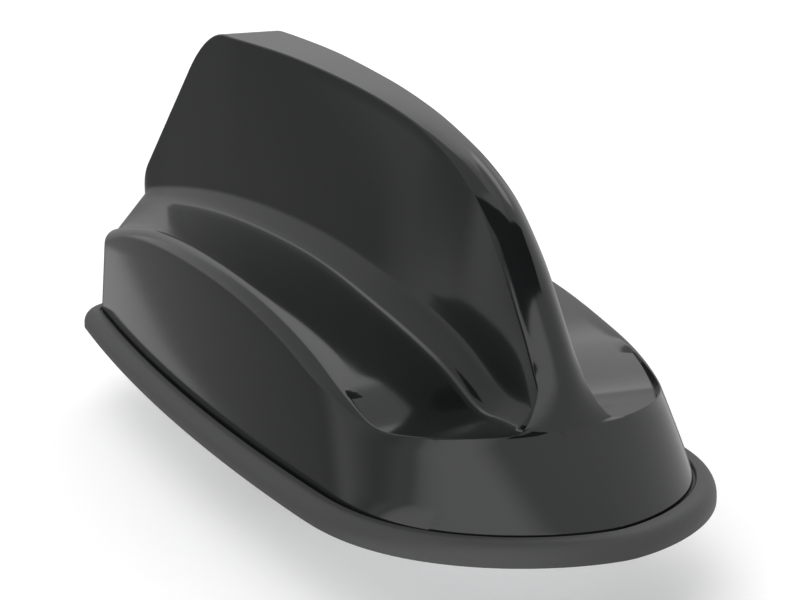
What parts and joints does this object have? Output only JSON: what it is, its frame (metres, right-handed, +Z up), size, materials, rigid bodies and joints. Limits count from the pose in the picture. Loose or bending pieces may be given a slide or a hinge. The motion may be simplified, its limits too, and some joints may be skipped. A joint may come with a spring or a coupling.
{
  "type": "shark fin aerial",
  "caption": "Shark fin aerial for a vehicle roof: hollow glossy cover with a thin fin and side pockets on a wide skirt, rubber base seal, metal base plate and hollow mounting stud.",
  "frame": {"origin": "the mounting stud axis where it crosses the roof plane, which is the underside of the rubber seal", "axes": "+X towards the nose of the cover, +Y to its left, +Z up and away from the roof"},
  "size_m": [0.18, 0.0726, 0.0838],
  "materials": {
    "cover_plastic": "gloss",
    "seal_rubber": "matte",
    "cast_metal": "satin",
    "stud_steel": "satin",
    "foam": "matte",
    "screw_steel": "satin",
    "board": "satin",
    "tin_sheet": "satin",
    "patch_ceramic": "matte",
    "silver_metal": "satin",
    "copper": "satin",
    "inner_plastic": "matte",
    "former_plastic": "matte",
    "gold_metal": "gloss"
  },
  "bodies": {
    "root": {"cover": "cover_plastic", "base_seal": "seal_rubber", "seal_cord": "seal_rubber", "base_plate": "cast_metal", "mounting_stud": "stud_steel", "roof_gasket": "foam", "cover_screws": "screw_steel", "main_board": "board", "board_screws": "screw_steel", "shield_can": "tin_sheet", "patch_ceramic": "patch_ceramic", "patch_electrode": "silver_metal", "mast_board": "board", "mast_copper": "copper", "top_cap": "tin_sheet", "mast_clips": "inner_plastic", "loading_coil": "copper", "coil_former": "former_plastic", "side_element_left": "tin_sheet", "side_element_right": "tin_sheet", "coax_sockets": "gold_metal", "feed_springs": "gold_metal", "board_parts": "inner_plastic"}
  },
  "joints": []
}
